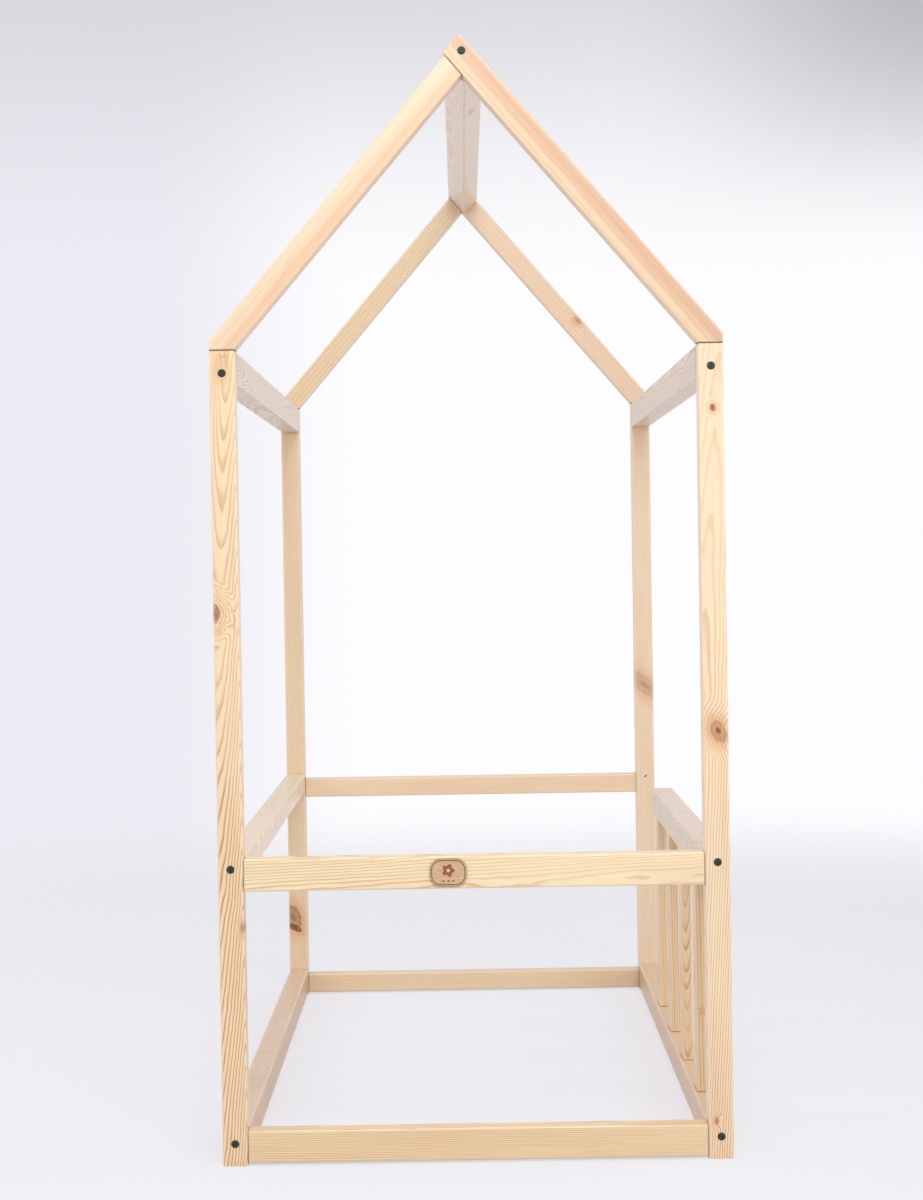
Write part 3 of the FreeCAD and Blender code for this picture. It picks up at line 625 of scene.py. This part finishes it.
def plywood(node):
    """Pale plywood with a scorched rim line and a small painted flower with three dots."""
    low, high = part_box(node)
    s = new_material("plywood_plaque")
    local = s.parts(s.vector("SUBTRACT", s.here(), (low + high) / 2))
    x, y, z = local
    fibre = grain_noise(s, local, 0.0, PLY_LUMPS, detail=3.0)
    colour = s.blend(s.ease(fibre, 0.3, 0.7), PLY_DARK, PLY_PALE)

    # A line that follows the plaque's rounded outline, and a scorched rim outside it.
    half = (high - low) / 2
    past_corner = [
        s.math("MAXIMUM", s.math("SUBTRACT", s.math("ABSOLUTE", way), size - PLAQUE_CORNER), 0.0)
        for way, size in ((x, half.x), (z, half.z))]
    rim = s.math("SUBTRACT", s.vector("LENGTH", s.place(*past_corner, 0.0)),
                 PLAQUE_CORNER - LINE_INSET)
    line = s.ease(s.math("ABSOLUTE", rim), 0.0005, 0.0011, 1.0, 0.0)
    scorch = s.ease(rim, LINE_INSET - 0.0012, LINE_INSET, 0.0, 0.8)
    colour = s.blend(s.math("MAXIMUM", line, scorch), colour, BURNT)

    colour = draw_flower(s, colour, x, z)
    roughness = s.math("MULTIPLY_ADD", fibre, 0.2, 0.5)
    return s.finish(colour, roughness, fibre, bump=0.0001)


def dress(node, material):
    """Give a CAD node its finish."""
    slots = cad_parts[node].data.materials
    slots.clear()
    slots.append(material)


def smooth(node):
    """Shade the rounded edges softly and keep the flat faces flat."""
    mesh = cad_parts[node].data
    mesh.shade_smooth()
    mesh.set_sharp_from_angle(angle=math.radians(25))


def dress_the_bed():
    """A finish for every CAD node."""
    for node, wood in WOODS.items():
        dress(node, pine(Stick(node), wood))
    dress("front_plaque", plywood("front_plaque"))
    dress("frame_bolts", steel("black_bolts", BOLT_BLACK, 0.32, 0.4))
    dress("rafter_screws", steel("dark_screws", SCREW_BROWN, 0.35, 0.8))
    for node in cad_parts:
        smooth(node)


# The studio.

FLOOR_REACH = 12.0
FLOOR_LEFT = rgb(252, 250, 255)
FLOOR_RIGHT = rgb(243, 243, 251)
FLOOR_MATT = rgb(214, 213, 217)
FLOOR_FADE = (2.2, 5.2)
SHADOW_DEPTH = 0.35

BACKDROP_WHITE = rgb(253, 252, 255)
BACKDROP_LEFT = rgb(237, 236, 244)
BACKDROP_TOP = rgb(214, 212, 219)
BACKDROP_CORNER = rgb(182, 183, 189)
FILL_COLOUR = (0.93, 0.95, 1.0, 1.0)
FILL_LEVEL = 0.62

LAMP_SIZE = 2.4
# Place, target and power of each lamp.
LAMPS = {
    "key": ((0.6, -4.3, 3.8), (0.0, -0.6, 1.0), 114.0),
    "right_fill": ((4.2, -0.6, 2.6), (0.0, 0.0, 0.9), 50.0),
    "left_fill": ((-4.0, -0.4, 2.4), (0.0, 0.0, 0.9), 50.0),
}

CAMERA_PLACE = (-0.0126, -5.0058, 1.0783)
CAMERA_YAW, CAMERA_PITCH, CAMERA_ROLL = -0.00055, -0.01848, -0.01576
SENSOR_WIDTH = 36.0
LENS = 70.5


def make_floor():
    """A pale floor that keeps the shadows and fades out into the backdrop."""
    mesh = bpy.data.meshes.new("floor")
    corners = [(FLOOR_REACH * x, FLOOR_REACH * y, 0.0)
               for x, y in ((-1, -1), (1, -1), (1, 1), (-1, 1))]
    mesh.from_pydata(corners, [], [(0, 1, 2, 3)])
    floor = bpy.data.objects.new("floor", mesh)
    bpy.context.scene.collection.objects.link(floor)
    s = new_material("studio_floor")
    here = s.here()
    paint = s.blend(s.ease(s.parts(here)[0], 0.3, 1.8), FLOOR_LEFT, FLOOR_RIGHT)
    matt = s.add("ShaderNodeBsdfDiffuse", FLOOR_MATT)
    even = s.add("ShaderNodeEmission", paint)
    seen = s.switch(SHADOW_DEPTH, even, matt)
    shown = s.switch(s.mirror_or_eye(), matt, seen)
    clear = s.ease(s.vector("LENGTH", here), *FLOOR_FADE)
    s.output("ShaderNodeOutputMaterial",
             s.switch(clear, shown, s.add("ShaderNodeBsdfTransparent")))
    mesh.materials.append(s.owner)


def make_world():
    """Even pale light, and a white backdrop that darkens to the left and to the top."""
    world = bpy.data.worlds.new("studio")
    bpy.context.scene.world = world
    s = Shader(world)
    x, _, z = s.parts(s.here("Generated"))
    colour = s.blend(s.ease(x, -0.04, -0.13), BACKDROP_WHITE, BACKDROP_LEFT)
    colour = s.blend(s.ease(z, 0.11, 0.27), colour, BACKDROP_TOP)
    corner = s.math("MULTIPLY", s.ease(z, 0.12, 0.25), s.ease(x, 0.06, 0.2))
    colour = s.blend(corner, colour, BACKDROP_CORNER)
    backdrop = s.add("ShaderNodeBackground", colour)
    fill = s.add("ShaderNodeBackground", FILL_COLOUR, FILL_LEVEL)
    s.output("ShaderNodeOutputWorld", s.switch(s.mirror_or_eye(), fill, backdrop))


def make_lamp(name, place, target, power):
    """A square soft box that points at a target."""
    lamp = bpy.data.lights.new(name, "AREA")
    lamp.shape = "SQUARE"
    lamp.size = LAMP_SIZE
    lamp.energy = power
    thing = bpy.data.objects.new(name, lamp)
    thing.location = place
    thing.rotation_mode = "QUATERNION"
    thing.rotation_quaternion = (Vector(target) - Vector(place)).to_track_quat("-Z", "Y")
    bpy.context.scene.collection.objects.link(thing)


def make_camera():
    """The photograph's camera: a little left of the middle, at the height of the window."""
    yaw, pitch, roll = CAMERA_YAW, CAMERA_PITCH, CAMERA_ROLL
    forward = Vector((math.sin(yaw) * math.cos(pitch), math.cos(yaw) * math.cos(pitch),
                      math.sin(pitch)))
    level = Vector((math.cos(yaw), -math.sin(yaw), 0.0))
    upright = level.cross(forward)
    right = math.cos(roll) * level + math.sin(roll) * upright
    up = -math.sin(roll) * level + math.cos(roll) * upright
    data = bpy.data.cameras.new("camera")
    data.sensor_width = SENSOR_WIDTH
    data.lens = LENS
    camera = bpy.data.objects.new("camera", data)
    bpy.context.scene.collection.objects.link(camera)
    turn = Matrix((right, up, -forward)).transposed().to_4x4()
    camera.matrix_world = Matrix.Translation(CAMERA_PLACE) @ turn
    bpy.context.scene.camera = camera


def make_studio():
    make_floor()
    make_world()
    for name, (place, target, power) in LAMPS.items():
        make_lamp(name, place, target, power)
    make_camera()


dress_the_bed()
make_studio()
bpy.context.scene.view_settings.view_transform = "Standard"
